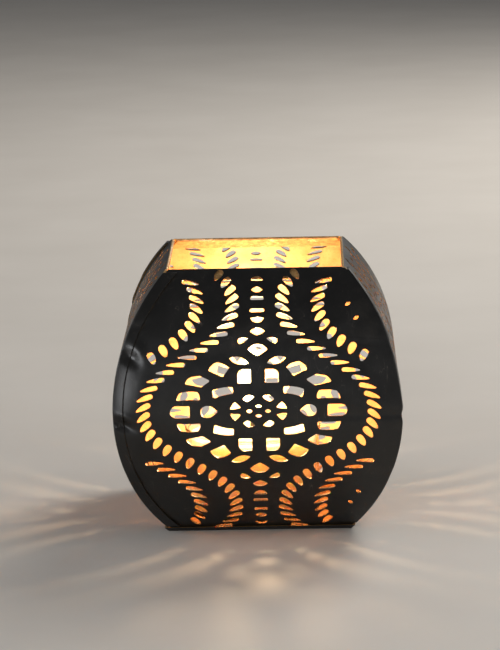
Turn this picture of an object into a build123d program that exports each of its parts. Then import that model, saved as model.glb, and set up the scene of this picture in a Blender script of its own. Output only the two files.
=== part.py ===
from build123d import *
from math import asin, cos, pi, radians, sin
import os

# A barrel-shaped pierced sheet-metal lantern for one tealight. Origin: centre of the base, on the
# table, +Z up. The front panel faces -Y. Millimetres throughout.
os.makedirs("parts", exist_ok=True)

# ---- Overall sizes
lantern_height = 75.0
belly_width = 80.0  # across the flats at mid height
mouth_width = 50.0  # across the flats at the rim and at the foot

# ---- Sheet-metal work
panel_sheet = 0.5
base_sheet = 0.5
seam_gap = 0.1  # air between lapped or butted sheets
lap_width = 2.3  # strip of each panel that is bent over its right-hand neighbour
lap_inset = 0.5  # the lap stops this far short of the rim and of the base plate's lip
hem_depth = 3.0  # sheet folded down inside the rim
hem_gap = 0.2  # air inside the fold
foot_flange = 1.5  # sheet turned in along the base plate
lip_height = 1.2  # upturned edge of the base plate

# ---- Pierced pattern, drawn for a flat sheet of this size: u across it, s along its height from the middle.
# On another size of lantern the holes spread or close up with the sheet.
pattern_width = 80.0
pattern_length = 82.8
pattern_shift = 0.5  # the pattern sits a little to the right on the panel
half_repeat = 30.4  # from a medallion's centre to the waist of the dashed band round it
column_step = 48.8  # from a medallion's centre line to that of the next, half a repeat higher
band_reach_wide = 32.0  # from the medallion's centre line to the band, at the medallion
band_reach_waist = 6.9  # the same at the waist
band_squareness = 0.06  # straightens the band's flanks
dashes_per_half = 13  # along the band, from medallion to waist
dash_bunching = 0.024  # closes the dashes up on the flanks
plain_border = 5.5  # unpierced sheet beside each corner
pierced_reach = 39.4  # no hole lies further than this from the middle of the sheet
corner_round = 0.35  # in the larger holes

# ---- Long-burning tealight in a clear cup
candle_lean = 0.4  # it stands left of the centre by this share of its play inside the foot
cup_diameter = 38.0
cup_height = 24.0
cup_wall = 0.4
cup_rim_bead = 0.5  # radius of the rolled rim
wax_clearance = 0.2
wax_height = 21.0
melt_pool_depth = 1.2
melt_pool_diameter = 31.0
wick_diameter = 1.3
wick_above_wax = 7.0
wick_clearance = 0.05
sustainer_diameter = 14.0
sustainer_thickness = 0.4
sustainer_neck_height = 3.5
sustainer_neck_wall = 0.35

# ---- Worked out from those
mid_height = lantern_height / 2
bow_depth = (belly_width - mouth_width) / 2
bow_radius = (bow_depth**2 + mid_height**2) / (2 * bow_depth)
axis_offset = bow_radius - belly_width / 2  # the bow's centre lies beyond the lantern's axis
lap_radius = bow_radius + seam_gap + panel_sheet
fold_radius = panel_sheet + hem_gap / 2
fold_centre_radius = bow_radius - fold_radius
fold_angle = asin((mid_height - fold_radius) / fold_centre_radius)
sheet_length = 2 * bow_radius * asin(mid_height / bow_radius)  # rim to foot, along the bow
across = belly_width / pattern_width
along = sheet_length / pattern_length
hole_scale = min(across, along)
reach = belly_width  # long enough to pass through everything


def on_bow(radius, angle):
    """A point of a bowed wall's section: x runs outward from the axis, y is the height."""
    return (radius * cos(angle) - axis_offset, mid_height + radius * sin(angle))


def angle_at(radius, z):
    return asin((z - mid_height) / radius)


def half_width(z):
    """Half the lantern's width across the flats at a height."""
    return bow_radius * cos(angle_at(bow_radius, z)) - axis_offset


mitre_inset = panel_sheet / cos(angle_at(bow_radius, 0)) + seam_gap  # keeps folds off the next leaning sheet
foot_z = base_sheet + panel_sheet / 2
foot_reach = half_width(foot_z) - panel_sheet / 2


def flipped(point):
    return (-point[0], point[1])


def fold_point(radius):
    """The crown of the rim's fold, a radius beyond the fold's centre along the sheet."""
    x, z = on_bow(fold_centre_radius, fold_angle)
    return (x - radius * sin(fold_angle), z + radius * cos(fold_angle))


def bow_band(inner, outer, z_low, z_high, plane, side):
    """Half of a section: the strip between two radii of a bowed wall, on one side of the axis."""
    corners = [
        on_bow(outer, angle_at(outer, z_low)),
        on_bow(outer, 0),
        on_bow(outer, angle_at(outer, z_high)),
        on_bow(inner, angle_at(inner, z_high)),
        on_bow(inner, 0),
        on_bow(inner, angle_at(inner, z_low)),
    ]
    if side < 0:
        corners = [flipped(corner) for corner in corners]
    with BuildSketch(plane) as band:
        with BuildLine():
            ThreePointArc(corners[0], corners[1], corners[2])
            Line(corners[2], corners[3])
            ThreePointArc(corners[3], corners[4], corners[5])
            Line(corners[5], corners[0])
        make_face()
    return band.sketch


def barrel_section(plane, radius_left, radius_right, z_low, z_high):
    """The whole section between two bowed walls of the given radii."""
    left = [flipped(on_bow(radius_left, angle_at(radius_left, z))) for z in (z_high, mid_height, z_low)]
    right = [on_bow(radius_right, angle_at(radius_right, z)) for z in (z_low, mid_height, z_high)]
    with BuildSketch(plane) as section:
        with BuildLine():
            ThreePointArc(left[0], left[1], left[2])
            Line(left[2], right[0])
            ThreePointArc(right[0], right[1], right[2])
            Line(right[2], left[0])
        make_face()
    return section.sketch


def low_barrel(radius, z_low, z_high):
    """A short slice of the barrel, below its middle."""
    low = on_bow(radius, angle_at(radius, z_low))
    high = on_bow(radius, angle_at(radius, z_high))
    middle = on_bow(radius, angle_at(radius, (z_low + z_high) / 2))
    with BuildPart() as slice_of_barrel:
        for plane, mode in ((Plane.YZ, Mode.ADD), (Plane.XZ, Mode.INTERSECT)):
            with BuildSketch(plane) as section:
                with BuildLine():
                    ThreePointArc(low, middle, high)
                    Line(high, flipped(high))
                    ThreePointArc(flipped(high), flipped(middle), flipped(low))
                    Line(flipped(low), low)
                make_face()
            extrude(section.sketch, amount=reach, both=True, mode=mode)
    return slice_of_barrel.part


# ---- The holes


def sheet_plane(u, s, turn):
    """Where a hole is drawn: just outside the front panel, square to the sheet, turned by an angle."""
    angle = s * along / bow_radius
    y, z = on_bow(bow_radius + panel_sheet, angle)
    outward = (0, -cos(angle), sin(angle))
    rise = sin(radians(turn))
    lengthwise = (cos(radians(turn)), rise * sin(angle), rise * cos(angle))
    return Plane(origin=((u + pattern_shift) * across, -y, z), x_dir=lengthwise, z_dir=outward)


def punch(u, s, corners, bows, up=1, turn=0.0, rounding=corner_round):
    """One hole's outline: corners joined by straight or bowed sides. up is -1 for its mirror image below."""
    with BuildSketch(sheet_plane(u, s * up, turn)) as hole:
        with BuildLine():
            for corner, following, bow in zip(corners, corners[1:] + corners[:1], bows):
                start = (corner[0] * hole_scale, corner[1] * hole_scale * up)
                end = (following[0] * hole_scale, following[1] * hole_scale * up)
                if bow == 0:
                    Line(start, end)
                else:
                    SagittaArc(start, end, bow * hole_scale * up)
        make_face()
        if rounding > 0:
            fillet(hole.vertices(), radius=rounding * hole_scale)
    return hole.sketch.face()


def band_reach(s):
    """Distance of the dashed band from the medallion's centre line."""
    phase = pi * s / half_repeat
    middle = (band_reach_wide + band_reach_waist) / 2
    swing = (band_reach_wide - band_reach_waist) / 2
    return middle + swing * (cos(phase) - band_squareness * cos(3 * phase)) / (1 - band_squareness)


def dash(u, s, flank, hand):
    """A dash of the band. flank runs from 1, a long thin dash, to -1, a short fat steep one."""
    border = (half_width(mid_height + bow_radius * sin(s * along / bow_radius)) - plain_border) / across
    length = 4.4 + 0.75 * flank
    width = 1.55 - 0.45 * flank
    turn = hand * (-33 + 33 * flank)
    room = (border - abs(u + pattern_shift)) / max(cos(radians(turn)), 0.3)
    length = min(length, 2 * room)
    if length < 1.1 * width or abs(s) > pierced_reach:
        return []
    blunt = -hand * (length - width) / 2
    tip = hand * length / 2
    corners = [(blunt, -width / 2), (tip, -0.12 * width), (tip, 0.12 * width), (blunt, width / 2)]
    bows = [-0.14 * hand * width, 0, -0.2 * hand * width, -0.45 * hand * width]
    return [punch(u, s, corners, bows, turn=turn, rounding=0)]


def band_dashes():
    """The dashes on the right of the panel: this medallion's own band, and the next column's two bands."""
    bands = (
        (0.0, 0.0, 1, 2 * dashes_per_half),
        (column_step, half_repeat, -1, dashes_per_half),
        (column_step, -half_repeat, -1, dashes_per_half),
    )
    holes = []
    for centre_u, centre_s, hand, count in bands:
        for number in range(-count, count):
            step = (number + 0.5) / dashes_per_half
            s = half_repeat * (step + dash_bunching * sin(2 * pi * step))
            flank = cos(pi * (s / half_repeat - 0.5))
            holes += dash(centre_u + hand * band_reach(s), s + centre_s, flank, hand)
    return holes


def medallion_side():
    """The holes of the medallion's right half, each with its mirror image below."""
    holes = []
    for up in (1, -1):
        # outer ring, from the top round to the side
        holes.append(punch(5.2, 14.2, [(-2.7, -0.5), (2.7, 0.35)], [-1.0, -1.0], up, 6 * up, 0))
        fan = [(-2.9, 0.4), (-1.0, -2.1), (2.9, -0.3), (0.6, 1.9)]
        holes.append(punch(10.8, 11.8, fan, [0, 0, -0.35, -0.35], up))
        low_fan = [(-3.5, 0.2), (-1.0, -1.55), (3.6, -0.6), (1.7, 1.3), (-0.6, 1.6)]
        holes.append(punch(16.7, 8.5, low_fan, [0, 0, -0.3, 0, 0], up))
        outer_bar = [(-3.2, -1.1), (3.3, -1.2), (2.2, 1.0), (-2.6, 1.2)]
        holes.append(punch(19.5, 4.4, outer_bar, [0.15, -0.15, -0.25, -0.3], up))
        # inner ring
        block = [(-1.8, -1.9), (1.9, -1.9), (1.9, 0.4), (0.2, 1.9), (-1.8, 1.9)]
        holes.append(punch(3.8, 9.8, block, [0, 0, -0.45, 0, 0], up))
        inner_bar = [(-2.8, -0.4), (2.5, -1.7), (2.9, 0.6), (-2.8, 1.4)]
        holes.append(punch(9.8, 5.4, inner_bar, [0.25, 0, -0.35, 0], up))
        # rosette
        petal = [(-1.5, 0.5), (0.3, -0.9), (1.6, -0.1), (0.4, 0.9)]
        holes.append(punch(2.7, 3.6, petal, [-0.2, -0.2, -0.1, -0.2], up, 0, 0.2))
        side_petal = [(-1.5, -0.6), (1.5, -0.9), (0.1, 1.1)]
        holes.append(punch(6.45, 1.55, side_petal, [-0.15, -0.15, -0.15], up, 0, 0.25))
        # drops beside the diamond, and the two drops near the corner
        drop = [(-1.4, 0.5), (1.0, -1.0), (1.3, 0.4)]
        holes.append(punch(3.9, 19.8, drop, [-0.25, -0.45, -0.3], up, 0, 0.15))
    side_window = [(-2.8, -1.7), (0.9, -1.7), (0.9, 1.7), (-2.8, 1.7)]
    holes.append(punch(21.9, 0, side_window, [0, -1.7, 0, 0]))
    leaf = [(-2.4, 0), (-0.6, -1.5), (1.7, -1.3), (1.7, 1.3), (-0.6, 1.5)]
    holes.append(punch(13.75, 0, leaf, [-0.1, -0.3, -0.6, -0.3, -0.1]))
    holes.append(punch(2.55, 0, [(-0.8, 0), (0.8, 0)], [-0.5, -0.5], rounding=0))
    return holes


def centre_column():
    """The upright row of holes through the medallion, each with its mirror image below."""
    holes = []
    for up in (1, -1):
        lens = [(-1.75, -0.5), (1.75, -0.5)]
        holes.append(punch(0, 38.0, lens, [-0.25, -1.2], up, 0, 0))
        holes.append(punch(0, 34.5, [(-1.6, 0), (1.6, 0)], [-0.8, -0.9], up, 0, 0))
        for height, length in ((31.9, 3.7), (28.3, 4.0)):
            slot = [(-length / 2, -0.5), (length / 2, -0.5), (length / 2, 0.5), (-length / 2, 0.5)]
            holes.append(punch(0, height, slot, [0, 0, 0, 0], up, 0, 0.4))
        holes.append(punch(0, 25.6, [(-1.85, 0.45), (1.85, 0.45)], [-1.3, -0.25], up, 0, 0))
        holes.append(punch(0, 22.3, [(-2.1, 0), (0, -1.15), (2.1, 0)], [-0.1, -0.1, -1.0], up, 0, 0.2))
        diamond = [(-2.7, 0), (0, -1.8), (2.7, 0)]
        holes.append(punch(0, 17.2, diamond, [-0.15, -0.15, -1.5], up, 0, 0.2))
        holes.append(punch(0, 1.35, [(-0.9, 0), (0.9, 0)], [-0.4, -0.45], up, 0, 0))
    return holes


def corner_drops():
    """Small drops near the right-hand corner only."""
    holes = []
    for up in (1, -1):
        for u, s in ((25.2, 29.9), (27.4, 25.8)):
            holes.append(punch(u, s, [(-0.9, 0.3), (0.7, -0.4)], [-0.45, -0.55], up, 60 * up, 0))
    return holes


punch_depth = 2 * panel_sheet + hem_gap / 2
pattern_middle = Plane.YZ.offset(pattern_shift * across)
with BuildPart() as right_punches:
    extrude(band_dashes() + medallion_side(), amount=-punch_depth)
with BuildPart() as middle_punches:
    extrude(centre_column() + corner_drops(), amount=-punch_depth)

# ---- One panel, as the front one

rim_top = mid_height + bow_radius * sin(fold_angle)
lap_low = lip_height + lap_inset
lap_high = rim_top - lap_inset
with BuildPart() as lap:
    extrude(
        bow_band(lap_radius - panel_sheet, lap_radius, lap_low, lap_high, Plane.XZ, 1),
        amount=reach,
        both=True,
    )
    extrude(
        bow_band(bow_radius - lap_width - panel_sheet, bow_radius, 0, rim_top, Plane.YZ, -1),
        amount=reach,
        both=True,
        mode=Mode.INTERSECT,
    )

with BuildPart() as lap_root:
    extrude(
        bow_band(bow_radius - panel_sheet, bow_radius, lap_low, lap_high, Plane.YZ, -1),
        amount=reach,
        both=True,
    )
    extrude(
        bow_band(bow_radius - 2 * panel_sheet, lap_radius, 0, rim_top, Plane.XZ, 1),
        amount=reach,
        both=True,
        mode=Mode.INTERSECT,
    )

with BuildPart() as folds:
    hem_end = fold_angle - hem_depth / bow_radius
    outer_leg = bow_radius - panel_sheet
    inner_leg = outer_leg - hem_gap
    hem_inside = inner_leg - panel_sheet
    with BuildSketch(Plane.YZ):
        with BuildLine():
            ThreePointArc(
                flipped(on_bow(bow_radius, fold_angle)),
                flipped(fold_point(fold_radius)),
                flipped(on_bow(hem_inside, fold_angle)),
            )
            ThreePointArc(
                flipped(on_bow(hem_inside, fold_angle)),
                flipped(on_bow(hem_inside, (fold_angle + hem_end) / 2)),
                flipped(on_bow(hem_inside, hem_end)),
            )
            Line(flipped(on_bow(hem_inside, hem_end)), flipped(on_bow(inner_leg, hem_end)))
            ThreePointArc(
                flipped(on_bow(inner_leg, hem_end)),
                flipped(on_bow(inner_leg, (fold_angle + hem_end) / 2)),
                flipped(on_bow(inner_leg, fold_angle)),
            )
            ThreePointArc(
                flipped(on_bow(inner_leg, fold_angle)),
                flipped(fold_point(hem_gap / 2)),
                flipped(on_bow(outer_leg, fold_angle)),
            )
            Line(flipped(on_bow(outer_leg, fold_angle)), flipped(on_bow(bow_radius, fold_angle)))
        make_face()
    with BuildSketch(Plane.YZ):
        with Locations((-foot_reach, foot_z)):
            Rectangle(foot_flange, panel_sheet, align=(Align.MIN, Align.CENTER))
    extrude(amount=reach, both=True)
    with BuildSketch(Plane.XY):
        with Locations((0, -mitre_inset)):
            Polygon((0, 0), (-reach, -reach), (reach, -reach), align=None)
    extrude(amount=lantern_height, mode=Mode.INTERSECT)

with BuildPart() as panel:
    extrude(
        bow_band(bow_radius - panel_sheet, bow_radius, base_sheet, rim_top, Plane.YZ, -1),
        amount=reach,
        both=True,
    )
    extrude(
        barrel_section(Plane.XZ, bow_radius - panel_sheet - seam_gap, bow_radius, 0, rim_top),
        amount=reach,
        both=True,
        mode=Mode.INTERSECT,
    )
    add(lap_root.part)
    add(lap.part)
    add(folds.part)
    add(right_punches.part, mode=Mode.SUBTRACT)
    add(mirror(right_punches.part, pattern_middle), mode=Mode.SUBTRACT)
    add(middle_punches.part, mode=Mode.SUBTRACT)

for name, quarter_turns in (("front", 0), ("right", 1), ("back", 2), ("left", 3)):
    with BuildPart() as placed_panel:
        add(panel.part.rotate(Axis.Z, 90 * quarter_turns))
    placed_panel.part.label = name + "_panel"
    export_step(placed_panel.part, "parts/" + name + "_panel.step")

# ---- Base plate with its upturned lip

well = low_barrel(bow_radius + seam_gap, base_sheet, lip_height + base_sheet)
with BuildPart() as base_plate:
    add(low_barrel(bow_radius + seam_gap + base_sheet, 0, lip_height))
    add(well, mode=Mode.SUBTRACT)
base_plate.part.label = "base_plate"
export_step(base_plate.part, "parts/base_plate.step")

# ---- Tealight: cup, wax, wick and the tin disc that holds the wick up

cup_radius = cup_diameter / 2
cup_floor_z = base_sheet + cup_wall
cup_rim_z = base_sheet + cup_height
wax_radius = cup_radius - cup_wall - wax_clearance
wax_base_z = cup_floor_z + wax_clearance / 2
wax_top_z = wax_base_z + wax_height
wick_radius = wick_diameter / 2
neck_inside = wick_radius + wick_clearance
neck_outside = neck_inside + sustainer_neck_wall
disc_top_z = wax_base_z + sustainer_thickness
candle_x = -candle_lean * (foot_reach - foot_flange - cup_radius)
candle_section = Plane(origin=(candle_x, 0, 0), x_dir=(1, 0, 0), z_dir=(0, -1, 0))
candle_axis = Axis((candle_x, 0, 0), (0, 0, 1))

with BuildPart() as tealight_cup:
    with BuildSketch(candle_section):
        with Locations((0, base_sheet)):
            Rectangle(cup_radius, cup_height - cup_rim_bead, align=(Align.MIN, Align.MIN))
        with Locations((0, cup_floor_z)):
            Rectangle(cup_radius - cup_wall, cup_height, align=(Align.MIN, Align.MIN), mode=Mode.SUBTRACT)
        with Locations((cup_radius - cup_wall + cup_rim_bead, cup_rim_z - cup_rim_bead)):
            Circle(cup_rim_bead)
    revolve(axis=candle_axis)
tealight_cup.part.label = "tealight_cup"
export_step(tealight_cup.part, "parts/tealight_cup.step")

with BuildPart() as wick_sustainer:
    with BuildSketch(candle_section):
        with Locations((neck_inside, wax_base_z)):
            Rectangle(
                sustainer_diameter / 2 - neck_inside,
                sustainer_thickness,
                align=(Align.MIN, Align.MIN),
            )
            Rectangle(sustainer_neck_wall, sustainer_neck_height, align=(Align.MIN, Align.MIN))
    revolve(axis=candle_axis)
wick_sustainer.part.label = "wick_sustainer"
export_step(wick_sustainer.part, "parts/wick_sustainer.step")

with BuildPart() as wick:
    with BuildSketch(Plane.XY.offset(wax_base_z)):
        with Locations((candle_x, 0)):
            Circle(wick_radius)
    extrude(amount=wax_height - melt_pool_depth + wick_above_wax)
    chamfer(wick.faces().sort_by(Axis.Z)[-1].edges(), length=wick_radius / 2)
wick.part.label = "wick"
export_step(wick.part, "parts/wick.step")

with BuildPart() as wax:
    pool_radius = melt_pool_diameter / 2
    with BuildSketch(candle_section):
        with BuildLine():
            Polyline(
                (neck_inside, wax_top_z - melt_pool_depth),
                (neck_inside, wax_base_z + sustainer_neck_height + wick_clearance),
                (neck_outside + wick_clearance, wax_base_z + sustainer_neck_height + wick_clearance),
                (neck_outside + wick_clearance, disc_top_z + wick_clearance),
                (sustainer_diameter / 2 + wick_clearance, disc_top_z + wick_clearance),
                (sustainer_diameter / 2 + wick_clearance, wax_base_z),
                (wax_radius, wax_base_z),
                (wax_radius, wax_top_z),
                (pool_radius, wax_top_z),
            )
            ThreePointArc(
                (pool_radius, wax_top_z),
                (0.8 * pool_radius, wax_top_z - 0.8 * melt_pool_depth),
                (0.6 * pool_radius, wax_top_z - melt_pool_depth),
            )
            Line((0.6 * pool_radius, wax_top_z - melt_pool_depth), (neck_inside, wax_top_z - melt_pool_depth))
        make_face()
    revolve(axis=candle_axis)
wax.part.label = "wax"
export_step(wax.part, "parts/wax.step")
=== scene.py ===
import math

import bmesh
import bpy
from mathutils import Matrix, Vector, noise


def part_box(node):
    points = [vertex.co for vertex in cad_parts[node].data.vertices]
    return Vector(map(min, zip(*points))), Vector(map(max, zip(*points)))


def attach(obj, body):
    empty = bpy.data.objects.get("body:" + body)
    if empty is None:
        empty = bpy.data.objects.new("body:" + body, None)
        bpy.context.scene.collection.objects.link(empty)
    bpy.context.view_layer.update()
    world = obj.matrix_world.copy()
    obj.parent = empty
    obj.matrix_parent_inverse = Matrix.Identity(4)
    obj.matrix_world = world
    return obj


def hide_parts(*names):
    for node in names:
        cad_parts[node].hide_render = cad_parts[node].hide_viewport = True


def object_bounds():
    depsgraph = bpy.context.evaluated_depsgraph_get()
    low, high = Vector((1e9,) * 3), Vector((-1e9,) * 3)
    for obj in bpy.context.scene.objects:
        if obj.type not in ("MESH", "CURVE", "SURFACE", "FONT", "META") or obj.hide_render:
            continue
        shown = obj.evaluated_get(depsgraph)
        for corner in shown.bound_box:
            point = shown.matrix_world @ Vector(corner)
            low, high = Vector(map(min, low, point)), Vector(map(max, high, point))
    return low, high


# A lit Moroccan tealight lantern. Metres, in the CAD model's frame: origin under the middle of the base,
# +Z up, the front panel facing -Y.

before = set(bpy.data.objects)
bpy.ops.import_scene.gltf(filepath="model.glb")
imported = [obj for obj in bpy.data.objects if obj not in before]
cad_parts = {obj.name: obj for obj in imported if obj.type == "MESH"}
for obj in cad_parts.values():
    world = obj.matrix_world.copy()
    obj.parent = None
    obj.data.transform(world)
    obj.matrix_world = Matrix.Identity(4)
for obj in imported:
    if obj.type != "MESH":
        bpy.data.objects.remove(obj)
cad_low, cad_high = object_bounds()

MM = 0.001
QUARTER_TURNS = {"front": 0, "right": 1, "back": 2, "left": 3}
SHEET = 0.5 * MM  # thickness of the panels
SAME_PLACE = 0.001 * MM  # vertices closer than this are one
BEND_RADIUS = 0.8 * MM  # outside of the corners that are bent from the sheet
LEVEL = 0.02 * MM  # how exactly a point must lie on a surface to count as on it
TOP = cad_high.z
BLACK_FINISH, GOLD_FINISH, RIM_FINISH, EDGE_FINISH = range(4)

FLAME_STRENGTH = 14  # glow of the flame's own surface
FLAME_POWER = 0.17  # watts of the lamp inside the flame
FLAME_HEIGHT = 26 * MM
FLAME_WIDTH = 8.5 * MM
FLAME_START = 3 * MM  # the flame begins this far below the wick's tip


# ---- The barrel's shape, read from the front panel's own mesh


def read_bow():
    """Height of the middle, radius of the bowed walls, and how far their centres lie beyond the axis."""
    points = [vertex.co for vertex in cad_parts["front_panel"].data.vertices]
    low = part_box("front_panel")[0]
    middle = TOP / 2
    foot = -min(point.y for point in points if point.z < low.z + LEVEL)
    belly = -low.y
    sagitta = belly - foot
    half_chord = middle - low.z
    radius = (sagitta**2 + half_chord**2) / (2 * sagitta)
    return middle, radius, radius - belly


MIDDLE, BOW, AXIS_OFFSET = read_bow()


def half_width(z):
    """Half the lantern's width across the flats at a height."""
    return math.sqrt(BOW**2 - (z - MIDDLE) ** 2) - AXIS_OFFSET


def turned(quarter_turns):
    return Matrix.Rotation(math.radians(90 * quarter_turns), 4, "Z")


def wall_frame(point, across):
    """Distance of a point from the bow's centre line, and the way out of the wall there."""
    reach = point.x if across else -point.y
    outward = Vector((reach + AXIS_OFFSET, point.z - MIDDLE))
    distance = outward.length
    outward.normalize()
    if across:
        return distance, Vector((outward.x, 0, outward.y))
    return distance, Vector((0, -outward.x, outward.y))


# ---- Dents of the hand-bent seams, pressed alike into every sheet at that place


# Each dent, in millimetres: how far from the corner, height, length, width, slant in degrees, depth.
SEAM_DENTS = (
    (3.0, 52.8, 3.4, 1.4, -38, 0.75),
    (2.6, 34.2, 3.4, 1.3, -28, 0.90),
    (0.0, 43.5, 9.0, 4.2, 90, 1.00),
    (2.2, 61.0, 2.6, 1.2, 20, 0.20),
    (2.6, 17.5, 3.0, 1.4, -35, 0.24),
)
DENT_REACH = 9 * MM  # the seam's dents lie within this distance of the corner
DENT_FADE = 3 * MM  # and die away over this much of it
SWELL_AWAY = 1.9  # the swelling beside a dent lies this many widths away
SWELL_SHARE = 0.35  # and rises by this share of the dent's depth
OTHER_SEAMS_SHARE = 0.6  # the dents at the other three corners are this much of the front's
OTHER_SEAMS_SHIFT = 4.0  # and lie up to this many millimetres higher or lower
DENT_STEP = 0.9 * MM  # spacing of the cuts that let the sheet bend
CUTS_ACROSS = 26
CUTS_UP = 70
LOWEST_CUT = 4 * MM


def seam_dent(point, quarter_turns):
    """How far the front face is pushed in at a point."""
    depth = 0.0
    corner = -half_width(point.z)
    for number, (inset, height, length, width, slant, deep) in enumerate(SEAM_DENTS):
        height_here = height
        share = 1.0
        if quarter_turns > 0:
            height_here += OTHER_SEAMS_SHIFT * noise.noise(Vector((number, quarter_turns, 0.5)))
            share = OTHER_SEAMS_SHARE
        side = (point.x - corner) / MM - inset
        rise = point.z / MM - height_here
        angle = math.radians(slant)
        along = side * math.cos(angle) + rise * math.sin(angle)
        beside = rise * math.cos(angle) - side * math.sin(angle)
        pressed = math.exp(-((along / length) ** 2) - (beside / width) ** 2)
        swollen = math.exp(-((along / length) ** 2) - ((beside - SWELL_AWAY * width) / width) ** 2)
        depth += share * deep * MM * (pressed - SWELL_SHARE * swollen)
    fade = (DENT_REACH - (point.x - corner)) / DENT_FADE
    return depth * min(1.0, max(0.0, fade))


def cut_for_dents(mesh, into_front):
    """Cuts the faces near the front's left corner along an upright grid, so that they can bend."""
    out_of_front = into_front.inverted()

    def near_seam(vertex):
        point = into_front @ vertex.co
        half = half_width(min(max(point.z, 0), TOP))
        return point.x + half < DENT_REACH and point.y < -half + 2 * MM

    faces = [face for face in mesh.faces if any(near_seam(vertex) for vertex in face.verts)]
    edges = {edge for face in faces for edge in face.edges}
    corners = {vertex for face in faces for vertex in face.verts}
    near = [*corners, *edges, *faces]
    start = Vector((-half_width(MIDDLE), 0, LOWEST_CUT))
    for count, along in ((CUTS_ACROSS, Vector((1, 0, 0))), (CUTS_UP, Vector((0, 0, 1)))):
        for step in range(count):
            near = bmesh.ops.bisect_plane(
                mesh,
                geom=near,
                dist=SAME_PLACE,
                plane_co=out_of_front @ (start + along * (step + 0.5) * DENT_STEP),
                plane_no=out_of_front.to_3x3() @ along,
            )["geom"]


def press_dents(mesh, into_front, quarter_turns):
    """Moves the vertices near the front's left corner into its dents."""
    out_of_front = into_front.inverted()
    for vertex in mesh.verts:
        point = into_front @ vertex.co
        distance, outward = wall_frame(point, False)
        if abs(distance - BOW) < 3 * SHEET and point.x < 0:
            vertex.co = out_of_front @ (point - outward * seam_dent(point, quarter_turns))


ALONG_WALL = 0.93  # cosine above which a face counts as lying along the wall
CORNER_PART = 0.4  # a point has to be this share of the half width out, both ways, to be near a corner
SMALL_STEP = 0.05 * MM  # distance over which a slope is measured


def true_normals(sheet, own, seams):
    """Gives the sheet's faces the normals of the bow, tilted by the dents, instead of their own."""
    normals = [Vector()] * len(sheet.loops)
    for face in sheet.polygons:
        if face.material_index == EDGE_FINISH:
            continue
        centre = own @ face.center
        direction = own.to_3x3() @ face.normal
        for across in (False, True):
            straight = wall_frame(centre, across)[1]
            side = direction.dot(straight)
            if abs(side) < ALONG_WALL:
                continue
            for loop in face.loop_indices:
                place = sheet.vertices[sheet.loops[loop].vertex_index].co
                outward = wall_frame(own @ place, across)[1]
                world = own.inverted().to_3x3() @ outward
                for into_front, quarter_turns in seams:
                    world = world + dent_slope(into_front, quarter_turns, place)
                normals[loop] = (world if side > 0 else -world).normalized()
            break
    sheet.normals_split_custom_set(normals)


def dent_slope(into_front, quarter_turns, place):
    """The tilt that the dents of one seam give the surface at a place."""
    point = into_front @ place
    nearest = -CORNER_PART * half_width(MIDDLE)
    if point.x > nearest or point.y > nearest:
        return Vector()
    here = seam_dent(point, quarter_turns)
    slope = Vector()
    for along in (Vector((1, 0, 0)), Vector((0, 0, 1))):
        there = seam_dent(point + along * SMALL_STEP, quarter_turns)
        slope += along * ((there - here) / SMALL_STEP)
    return into_front.inverted().to_3x3() @ slope


# ---- Materials


def material_tree(name):
    material = bpy.data.materials.new(name)
    material.use_nodes = True
    return material, material.node_tree, material.node_tree.nodes["Principled BSDF"]


def coordinates(tree, stretch=(1, 1, 1)):
    """Places in the object, in millimetres, stretched."""
    source = tree.nodes.new("ShaderNodeTexCoord")
    mapping = tree.nodes.new("ShaderNodeMapping")
    mapping.inputs["Scale"].default_value = [amount / MM for amount in stretch]
    tree.links.new(source.outputs["Object"], mapping.inputs["Vector"])
    return mapping.outputs["Vector"]


def grain(tree, size, detail=4.0, roughness=0.55, stretch=(1, 1, 1)):
    """A cloudy pattern whose blotches are about this many millimetres."""
    texture = tree.nodes.new("ShaderNodeTexNoise")
    texture.inputs["Scale"].default_value = 1 / size
    texture.inputs["Detail"].default_value = detail
    texture.inputs["Roughness"].default_value = roughness
    tree.links.new(coordinates(tree, stretch), texture.inputs["Vector"])
    return texture.outputs["Fac"]


def scaled(tree, value, low, high, start=0.0, end=1.0):
    """value, read between low and high, as a number from start to end."""
    node = tree.nodes.new("ShaderNodeMapRange")
    node.inputs["From Min"].default_value = low
    node.inputs["From Max"].default_value = high
    node.inputs["To Min"].default_value = start
    node.inputs["To Max"].default_value = end
    tree.links.new(value, node.inputs["Value"])
    return node.outputs["Result"]


def combined(tree, operation, first, second):
    node = tree.nodes.new("ShaderNodeMath")
    node.operation = operation
    for socket, value in zip(node.inputs, (first, second)):
        if isinstance(value, (int, float)):
            socket.default_value = value
        else:
            tree.links.new(value, socket)
    return node.outputs["Value"]


def blended(tree, share, first, second):
    """A colour between two, each an RGB triple or another node's colour."""
    node = tree.nodes.new("ShaderNodeMix")
    node.data_type = "RGBA"
    tree.links.new(share, node.inputs["Factor"])
    for socket, colour in ((node.inputs["A"], first), (node.inputs["B"], second)):
        if isinstance(colour, tuple):
            socket.default_value = (*colour, 1)
        else:
            tree.links.new(colour, socket)
    return node.outputs["Result"]


def scratches(tree, size, thin, stretch):
    """Fine lines, one way: 1 on a scratch."""
    lines = grain(tree, size, 2.0, 0.5, stretch)
    return scaled(tree, combined(tree, "ABSOLUTE", combined(tree, "SUBTRACT", lines, 0.5), 0), thin, 0.0)


def raised(tree, shader, height, distance, strength, edge=0.0):
    """Bumps the surface by a height pattern; edge rounds sharp edges by that radius."""
    bump = tree.nodes.new("ShaderNodeBump")
    bump.inputs["Distance"].default_value = distance
    bump.inputs["Strength"].default_value = strength
    tree.links.new(height, bump.inputs["Height"])
    if edge > 0:
        rounded = tree.nodes.new("ShaderNodeBevel")
        rounded.samples = 4
        rounded.inputs["Radius"].default_value = edge
        tree.links.new(rounded.outputs["Normal"], bump.inputs["Normal"])
    tree.links.new(bump.outputs["Normal"], shader.inputs["Normal"])


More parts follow.
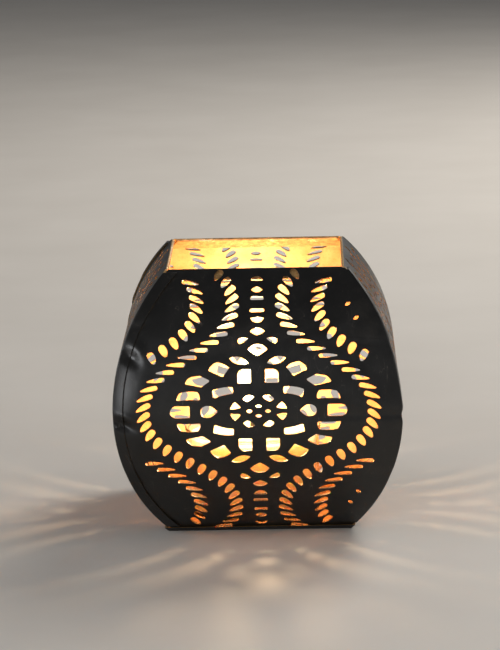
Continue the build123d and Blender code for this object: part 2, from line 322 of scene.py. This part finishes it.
def black_paint():
    """Satin black enamel, a little dusty, with faint rubs."""
    material, tree, shader = material_tree("black_enamel")
    blotches = grain(tree, 9.0)
    specks = scaled(tree, grain(tree, 0.35, 2.0), 0.70, 0.76)
    smudges = scaled(tree, grain(tree, 14.0, 5.0, 0.7), 0.56, 0.78)
    lines = scratches(tree, 3.0, 0.004, (1, 1, 0.12))
    rubs = combined(tree, "MULTIPLY", lines, scaled(tree, blotches, 0.5, 0.65))
    pale_specks = combined(tree, "MULTIPLY", specks, 0.5)
    pale_rubs = combined(tree, "MULTIPLY", rubs, 0.8)
    dust = combined(tree, "MAXIMUM", pale_specks, pale_rubs)
    dust = combined(tree, "MAXIMUM", dust, combined(tree, "MULTIPLY", smudges, 0.12))
    tone = scaled(tree, blotches, 0.3, 0.7)
    colour = blended(tree, tone, (0.0050, 0.0046, 0.0040), (0.0085, 0.0076, 0.0066))
    tree.links.new(blended(tree, dust, colour, (0.12, 0.10, 0.08)), shader.inputs["Base Color"])
    sheen = scaled(tree, blotches, 0.3, 0.7, 0.30, 0.42)
    dulled = combined(tree, "ADD", sheen, combined(tree, "MULTIPLY", dust, 0.3))
    tree.links.new(dulled, shader.inputs["Roughness"])
    shader.inputs["Specular IOR Level"].default_value = 0.55
    fine = combined(tree, "MULTIPLY", grain(tree, 0.22, 2.0), 0.035)
    height = combined(tree, "ADD", grain(tree, 9.0, 1.0), fine)
    raised(tree, shader, height, 0.12 * MM, 0.9, 0.15 * MM)
    return material


def gold_paint():
    """Gold enamel on the inside, a little mottled."""
    material, tree, shader = material_tree("gold_enamel")
    blotches = grain(tree, 5.0, 5.0, 0.65)
    patches = scaled(tree, grain(tree, 0.8, 5.0, 0.75), 0.50, 0.70, 0.0, 0.35)
    colour = blended(tree, scaled(tree, blotches, 0.3, 0.7), (0.80, 0.50, 0.24), (0.92, 0.62, 0.33))
    tree.links.new(blended(tree, patches, colour, (0.42, 0.24, 0.09)), shader.inputs["Base Color"])
    shader.inputs["Metallic"].default_value = 0.75
    rough = scaled(tree, blotches, 0.3, 0.7, 0.36, 0.50)
    dulled = combined(tree, "ADD", rough, combined(tree, "MULTIPLY", patches, 0.3))
    tree.links.new(dulled, shader.inputs["Roughness"])
    fine = combined(tree, "MULTIPLY", grain(tree, 0.3, 2.0), 0.08)
    height = combined(tree, "ADD", grain(tree, 6.0, 1.0), fine)
    raised(tree, shader, height, 0.10 * MM, 0.8, 0.10 * MM)
    return material


def rim_paint():
    """The folded rim: the outside's black misted over with gold, rubbed bright by handling."""
    material, tree, shader = material_tree("rubbed_rim")
    mist = scaled(tree, grain(tree, 0.7, 5.0, 0.75, (0.5, 0.5, 1)), 0.36, 0.66)
    bare = scaled(tree, grain(tree, 1.6, 4.0, 0.8, (0.35, 0.35, 1)), 0.58, 0.66)
    worn = blended(tree, mist, (0.30, 0.18, 0.07), (0.72, 0.47, 0.20))
    tree.links.new(blended(tree, bare, worn, (0.92, 0.72, 0.40)), shader.inputs["Base Color"])
    tree.links.new(scaled(tree, bare, 0, 1, 0.4, 0.8), shader.inputs["Metallic"])
    tree.links.new(scaled(tree, mist, 0, 1, 0.36, 0.58), shader.inputs["Roughness"])
    raised(tree, shader, grain(tree, 0.5, 4.0, 0.7), 0.08 * MM, 0.8, 0.12 * MM)
    return material


def bare_steel():
    """The punched walls of the holes: bright sheared metal with paint run into it."""
    material, tree, shader = material_tree("sheared_edge")
    runs = scaled(tree, grain(tree, 0.5, 3.0, 0.6), 0.42, 0.62)
    colour = blended(tree, runs, (0.62, 0.44, 0.24), (0.10, 0.07, 0.045))
    tree.links.new(colour, shader.inputs["Base Color"])
    shader.inputs["Metallic"].default_value = 0.9
    tree.links.new(scaled(tree, runs, 0, 1, 0.25, 0.5), shader.inputs["Roughness"])
    drags = grain(tree, 0.15, 2.0, 0.5, (1, 1, 0.2))
    raised(tree, shader, drags, 0.02 * MM, 0.7)
    return material


def base_paint():
    """The base plate: gold on top, black elsewhere."""
    material, tree, shader = material_tree("base_enamel")
    geometry = tree.nodes.new("ShaderNodeNewGeometry")
    split = tree.nodes.new("ShaderNodeSeparateXYZ")
    tree.links.new(geometry.outputs["Normal"], split.inputs["Vector"])
    upward = scaled(tree, split.outputs["Z"], 0.5, 0.6)
    blotches = grain(tree, 6.0, 4.0, 0.6)
    gold = blended(tree, scaled(tree, blotches, 0.3, 0.7), (0.62, 0.36, 0.12), (0.85, 0.54, 0.21))
    black = blended(tree, scaled(tree, blotches, 0.35, 0.75), (0.007, 0.0065, 0.006), (0.018, 0.015, 0.013))
    tree.links.new(blended(tree, upward, black, gold), shader.inputs["Base Color"])
    tree.links.new(combined(tree, "MULTIPLY", upward, 0.85), shader.inputs["Metallic"])
    tree.links.new(scaled(tree, blotches, 0.3, 0.7, 0.34, 0.46), shader.inputs["Roughness"])
    raised(tree, shader, grain(tree, 1.5, 3.0), 0.05 * MM, 0.6, 0.12 * MM)
    return material


def clear_cup():
    """Thin clear moulded plastic, with faint draw marks."""
    material, tree, shader = material_tree("clear_cup")
    marks = grain(tree, 2.5, 3.0, 0.5, (1, 1, 0.15))
    shader.inputs["Base Color"].default_value = (0.97, 0.96, 0.93, 1)
    shader.inputs["Transmission Weight"].default_value = 1.0
    shader.inputs["IOR"].default_value = 1.45
    tree.links.new(scaled(tree, marks, 0.3, 0.7, 0.03, 0.12), shader.inputs["Roughness"])
    raised(tree, shader, marks, 0.05 * MM, 0.5)
    return material


def candle_wax():
    """Translucent wax, milky where solid, clear and wet where it has melted round the wick."""
    material, tree, shader = material_tree("candle_wax")
    low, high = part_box("wax")
    centre = (low + high) / 2
    source = tree.nodes.new("ShaderNodeTexCoord")
    moved = tree.nodes.new("ShaderNodeVectorMath")
    moved.operation = "SUBTRACT"
    moved.inputs[1].default_value = (centre.x, centre.y, high.z)
    tree.links.new(source.outputs["Object"], moved.inputs[0])
    flattened = tree.nodes.new("ShaderNodeVectorMath")
    flattened.operation = "MULTIPLY"
    flattened.inputs[1].default_value = (1, 1, 0)
    tree.links.new(moved.outputs["Vector"], flattened.inputs[0])
    spread = tree.nodes.new("ShaderNodeVectorMath")
    spread.operation = "LENGTH"
    tree.links.new(flattened.outputs["Vector"], spread.inputs[0])
    wet = scaled(tree, spread.outputs["Value"], (high.x - low.x) * 0.40, (high.x - low.x) * 0.43, 1.0, 0.0)
    cloud = grain(tree, 4.0, 3.0)
    milky = blended(tree, scaled(tree, cloud, 0.3, 0.7), (0.86, 0.76, 0.55), (0.93, 0.85, 0.66))
    tree.links.new(blended(tree, wet, milky, (0.90, 0.74, 0.42)), shader.inputs["Base Color"])
    tree.links.new(scaled(tree, wet, 0, 1, 0.42, 0.06), shader.inputs["Roughness"])
    shader.inputs["Subsurface Weight"].default_value = 1.0
    shader.inputs["Subsurface Radius"].default_value = (1.0, 0.72, 0.40)
    shader.inputs["Subsurface Scale"].default_value = 11 * MM
    shader.inputs["IOR"].default_value = 1.44
    raised(tree, shader, combined(tree, "MULTIPLY", cloud, scaled(tree, wet, 0, 1, 1, 0)), 0.3 * MM, 0.5)
    return material


def cotton_wick():
    """Cotton, burnt black above the wax, its tip still glowing."""
    material, tree, shader = material_tree("burnt_wick")
    low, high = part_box("wick")
    wax_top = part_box("wax")[1].z
    source = tree.nodes.new("ShaderNodeTexCoord")
    split = tree.nodes.new("ShaderNodeSeparateXYZ")
    tree.links.new(source.outputs["Object"], split.inputs["Vector"])
    burnt = scaled(tree, split.outputs["Z"], wax_top - 1 * MM, wax_top + 1 * MM)
    fibres = grain(tree, 0.3, 3.0, 0.6, (1, 1, 0.25))
    cotton = blended(tree, fibres, (0.62, 0.50, 0.30), (0.80, 0.70, 0.50))
    char = blended(tree, fibres, (0.008, 0.006, 0.005), (0.05, 0.04, 0.03))
    tree.links.new(blended(tree, burnt, cotton, char), shader.inputs["Base Color"])
    shader.inputs["Roughness"].default_value = 0.85
    shader.inputs["Emission Color"].default_value = (1.0, 0.22, 0.03, 1)
    ember = scaled(tree, split.outputs["Z"], high.z - 1.2 * MM, high.z, 0, 12)
    tree.links.new(ember, shader.inputs["Emission Strength"])
    raised(tree, shader, fibres, 0.15 * MM, 1.0)
    return material


def tinned_steel():
    material, tree, shader = material_tree("tinned_disc")
    bloom = grain(tree, 1.5, 3.0)
    tree.links.new(
        blended(tree, scaled(tree, bloom, 0.3, 0.7), (0.45, 0.43, 0.40), (0.66, 0.64, 0.61)),
        shader.inputs["Base Color"],
    )
    shader.inputs["Metallic"].default_value = 1.0
    tree.links.new(scaled(tree, bloom, 0.3, 0.7, 0.25, 0.45), shader.inputs["Roughness"])
    return material


def flame_glow():
    """The flame: hollow and blue round the wick, near white in the middle, orange towards the tip."""
    material = bpy.data.materials.new("flame_glow")
    material.use_nodes = True
    tree = material.node_tree
    tree.nodes.clear()
    source = tree.nodes.new("ShaderNodeTexCoord")
    split = tree.nodes.new("ShaderNodeSeparateXYZ")
    tree.links.new(source.outputs["Generated"], split.inputs["Vector"])
    colours = tree.nodes.new("ShaderNodeValToRGB")
    tree.links.new(split.outputs["Z"], colours.inputs["Fac"])
    ramp = colours.color_ramp
    ramp.elements[0].color = (0.10, 0.16, 0.60, 1)
    ramp.elements[1].color = (1.0, 0.45, 0.10, 1)
    ramp.elements.new(0.12).color = (0.9, 0.35, 0.08, 1)
    ramp.elements.new(0.3).color = (1.0, 0.72, 0.32, 1)
    ramp.elements.new(0.7).color = (1.0, 0.80, 0.42, 1)
    glow = tree.nodes.new("ShaderNodeEmission")
    tree.links.new(colours.outputs["Color"], glow.inputs["Color"])
    tree.links.new(scaled(tree, split.outputs["Z"], 0.0, 0.25, 1, FLAME_STRENGTH), glow.inputs["Strength"])
    clear = tree.nodes.new("ShaderNodeBsdfTransparent")
    mixed = tree.nodes.new("ShaderNodeMixShader")
    tree.links.new(scaled(tree, split.outputs["Z"], 0.0, 0.2, 0.15, 1.0), mixed.inputs["Fac"])
    tree.links.new(clear.outputs["BSDF"], mixed.inputs[1])
    tree.links.new(glow.outputs["Emission"], mixed.inputs[2])
    output = tree.nodes.new("ShaderNodeOutputMaterial")
    tree.links.new(mixed.outputs["Shader"], output.inputs["Surface"])
    return material


# ---- Pieces


def shown(name, mesh, body, materials):
    """A new piece that rides on a body."""
    piece = bpy.data.objects.new(name, mesh)
    bpy.context.scene.collection.objects.link(piece)
    for material in materials:
        mesh.materials.append(material)
    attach(piece, body)
    return piece


HEM_REACH = 3.4 * MM  # the folded hem lies within this distance of the top
HEM_BEND = 0.7 * MM  # height of the fold itself
HEM_EDGE = 1.5 * MM  # the hem's cut edge lies at least this far below the top
FOOT_HEIGHT = 1.2 * MM  # the foot flange lies below this


def painted_side(point, normal):
    """Which finish a face of the front panel has."""
    distance, outward = wall_frame(point, False)
    beside, sideways = wall_frame(point, True)
    on_lap = beside > BOW + 0.3 * SHEET
    if on_lap:
        turn = normal.dot(sideways)
        if turn > 0.6 or normal.dot(outward) > 0.6:
            return BLACK_FINISH
        return GOLD_FINISH if turn < -0.6 else EDGE_FINISH
    facing = normal.dot(outward)
    if facing > 0.8 and distance > BOW - 0.3 * SHEET:
        return BLACK_FINISH
    folded_rim = point.z > TOP - HEM_REACH and distance < BOW - 1.2 * SHEET
    if folded_rim and abs(facing) < 0.6 and point.z < TOP - HEM_EDGE:
        return EDGE_FINISH
    if folded_rim or point.z > TOP - HEM_BEND:
        return RIM_FINISH
    return GOLD_FINISH if facing < -0.8 or point.z < FOOT_HEIGHT else EDGE_FINISH


SHARP_BEND = 0.6  # radians between two faces above which their edge is a bend


def round_bend(mesh, into_front):
    """Rounds the corner where the sheet is bent over its neighbour."""
    bent = []

    def on_corner(vertex):
        point = into_front @ vertex.co
        on_front = abs(wall_frame(point, False)[0] - BOW) < LEVEL
        return on_front and wall_frame(point, True)[0] > BOW + SHEET

    for edge in mesh.edges:
        if len(edge.link_faces) != 2 or not all(on_corner(vertex) for vertex in edge.verts):
            continue
        if edge.calc_face_angle(0) > SHARP_BEND:
            bent.append(edge)
    bmesh.ops.bevel(
        mesh,
        geom=bent,
        offset=BEND_RADIUS,
        segments=5,
        profile=0.5,
        affect="EDGES",
        clamp_overlap=True,
    )


SHARP_EDGE = math.radians(28)  # the sheet's edges are shaded sharp above this angle


def panel_sheet(side, finishes):
    """One panel: the CAD sheet with its bend rounded, its seams dented and each face painted."""
    node = side + "_panel"
    own = turned(-QUARTER_TURNS[side])
    mesh = bmesh.new()
    mesh.from_mesh(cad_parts[node].data)
    bmesh.ops.remove_doubles(mesh, verts=mesh.verts, dist=SAME_PLACE)
    round_bend(mesh, own)
    for face in mesh.faces:
        normal = own.to_3x3() @ face.normal
        face.material_index = painted_side(own @ face.calc_center_median(), normal)
        face.smooth = True
    seams = [(turned(-turns), turns % 4) for turns in (QUARTER_TURNS[side], QUARTER_TURNS[side] + 1)]
    for into_front, quarter_turns in seams:
        cut_for_dents(mesh, into_front)
        press_dents(mesh, into_front, quarter_turns)
    sheet = bpy.data.meshes.new(side + "_sheet")
    mesh.to_mesh(sheet)
    mesh.free()
    sheet.set_sharp_from_angle(angle=SHARP_EDGE)
    true_normals(sheet, own, seams)
    piece = shown(side + "_sheet", sheet, "lantern", finishes)
    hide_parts(node)


def turned_body(name, outline, centre, segments):
    """A mesh made by turning an outline of (radius, height) pairs about an upright axis."""
    mesh = bmesh.new()
    rings = []
    for radius, height in outline:
        if radius == 0:
            rings.append([mesh.verts.new((centre.x, centre.y, height))])
            continue
        angles = [2 * math.pi * step / segments for step in range(segments)]
        rings.append(
            [
                mesh.verts.new((centre.x + radius * math.cos(a), centre.y + radius * math.sin(a), height))
                for a in angles
            ]
        )
    for lower, upper in zip(rings, rings[1:]):
        for step in range(segments):
            after = (step + 1) % segments
            corners = [lower[step % len(lower)], lower[after % len(lower)]]
            corners += [upper[after % len(upper)], upper[step % len(upper)]]
            corners = list(dict.fromkeys(corners))
            if len(corners) > 2:
                mesh.faces.new(corners).smooth = True
    made = bpy.data.meshes.new(name)
    mesh.to_mesh(made)
    mesh.free()
    return made


def make_flame():
    """The flame and its lamp. They ride on the candle, but aren't part of the object."""
    low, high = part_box("wick")
    centre = (low + high) / 2
    base = high.z - FLAME_START
    outline = []
    count = 28
    for step in range(count + 1):
        share = step / count
        # widest about a third of the way up
        swell = math.sin(math.pi * share**0.62) ** 0.9 * (1 - 0.25 * share)
        radius = FLAME_WIDTH / 2 * max(swell, 0) if 0 < step < count else 0
        outline.append((radius, base + FLAME_HEIGHT * share))
    flame = shown("flame", turned_body("flame", outline, centre, 32), "candle", [flame_glow()])
    lamp = bpy.data.lights.new("flame_lamp", "POINT")
    lamp.color = (1.0, 0.70, 0.42)
    lamp.energy = FLAME_POWER
    lamp.shadow_soft_size = 4 * MM
    holder = bpy.data.objects.new("flame_lamp", lamp)
    bpy.context.scene.collection.objects.link(holder)
    holder.location = (centre.x, centre.y, base + 0.5 * FLAME_HEIGHT)
    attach(holder, "candle")
    flame.visible_shadow = False


def finish_nodes():
    """Finishes of the CAD nodes that are shown as they are."""
    finishes = {
        "base_plate": base_paint(),
        "tealight_cup": clear_cup(),
        "wax": candle_wax(),
        "wick": cotton_wick(),
        "wick_sustainer": tinned_steel(),
    }
    for node, finish in finishes.items():
        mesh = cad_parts[node].data
        mesh.materials.clear()
        mesh.materials.append(finish)


# ---- Studio


def make_floor():
    mesh = bpy.data.meshes.new("floor")
    half = 6.0
    corners = [(-half, -half, 0), (half, -half, 0), (half, half, 0), (-half, half, 0)]
    mesh.from_pydata(corners, [], [(0, 1, 2, 3)])
    floor = bpy.data.objects.new("floor", mesh)
    bpy.context.scene.collection.objects.link(floor)
    material, tree, shader = material_tree("pale_floor")
    tone = scaled(tree, grain(tree, 60.0, 3.0), 0.3, 0.7)
    tree.links.new(blended(tree, tone, (0.66, 0.62, 0.57), (0.70, 0.66, 0.61)), shader.inputs["Base Color"])
    shader.inputs["Roughness"].default_value = 0.6
    mesh.materials.append(material)


def area_light(name, place, aim, size, power, colour):
    light = bpy.data.lights.new(name, "AREA")
    light.shape = "RECTANGLE"
    light.size, light.size_y = size
    light.energy = power
    light.color = colour
    holder = bpy.data.objects.new(name, light)
    bpy.context.scene.collection.objects.link(holder)
    holder.location = place
    holder.rotation_euler = (Vector(aim) - Vector(place)).to_track_quat("-Z", "Y").to_euler()


def make_light():
    """Soft studio light, low enough for the flame's own light to show."""
    bpy.context.scene.view_settings.view_transform = "Standard"
    world = bpy.data.worlds.new("studio")
    bpy.context.scene.world = world
    world.use_nodes = True
    world.node_tree.nodes["Background"].inputs["Color"].default_value = (0.95, 0.97, 1.0, 1)
    world.node_tree.nodes["Background"].inputs["Strength"].default_value = 0.12
    aim = (0, 0, MIDDLE)
    area_light("window", (0.45, 0.75, 0.65), aim, (0.5, 0.5), 7.0, (1.0, 0.96, 0.90))
    area_light("left_fill", (-0.75, -0.05, 0.30), aim, (0.30, 0.5), 1.6, (0.95, 0.97, 1.0))
    area_light("right_fill", (0.80, -0.10, 0.50), aim, (0.25, 0.5), 1.2, (1.0, 0.97, 0.93))
    area_light("left_front", (-0.46, -0.83, 0.17), aim, (0.20, 0.25), 2.4, (0.95, 0.97, 1.0))
    area_light("right_front", (0.70, -0.60, 0.40), aim, (0.14, 0.40), 0.8, (1.0, 0.97, 0.93))


def make_camera():
    """The photograph's view: low, nearly square to the front panel, from a metre away."""
    pitch = math.radians(11.34)
    yaw = math.radians(-1.09)
    roll = math.radians(-1.2)
    distance = 0.9987
    aim = Vector((-2.139 * MM, 0, 53.84 * MM))
    back = Vector((0, -math.cos(pitch), math.sin(pitch)))
    spin = Matrix.Rotation(-yaw, 3, "Z")
    camera = bpy.data.cameras.new("camera")
    camera.sensor_width = 36
    camera.lens = 192.7
    camera.clip_start = 0.05
    holder = bpy.data.objects.new("camera", camera)
    bpy.context.scene.collection.objects.link(holder)
    holder.location = spin @ (aim + back * distance)
    looking = (spin @ -back).to_track_quat("-Z", "Y").to_matrix()
    holder.rotation_euler = (looking @ Matrix.Rotation(roll, 3, "Z")).to_euler()
    bpy.context.scene.camera = holder


panel_finishes = [black_paint(), gold_paint(), rim_paint(), bare_steel()]
for side in QUARTER_TURNS:
    panel_sheet(side, panel_finishes)
finish_nodes()
make_flame()
make_floor()
make_light()
make_camera()
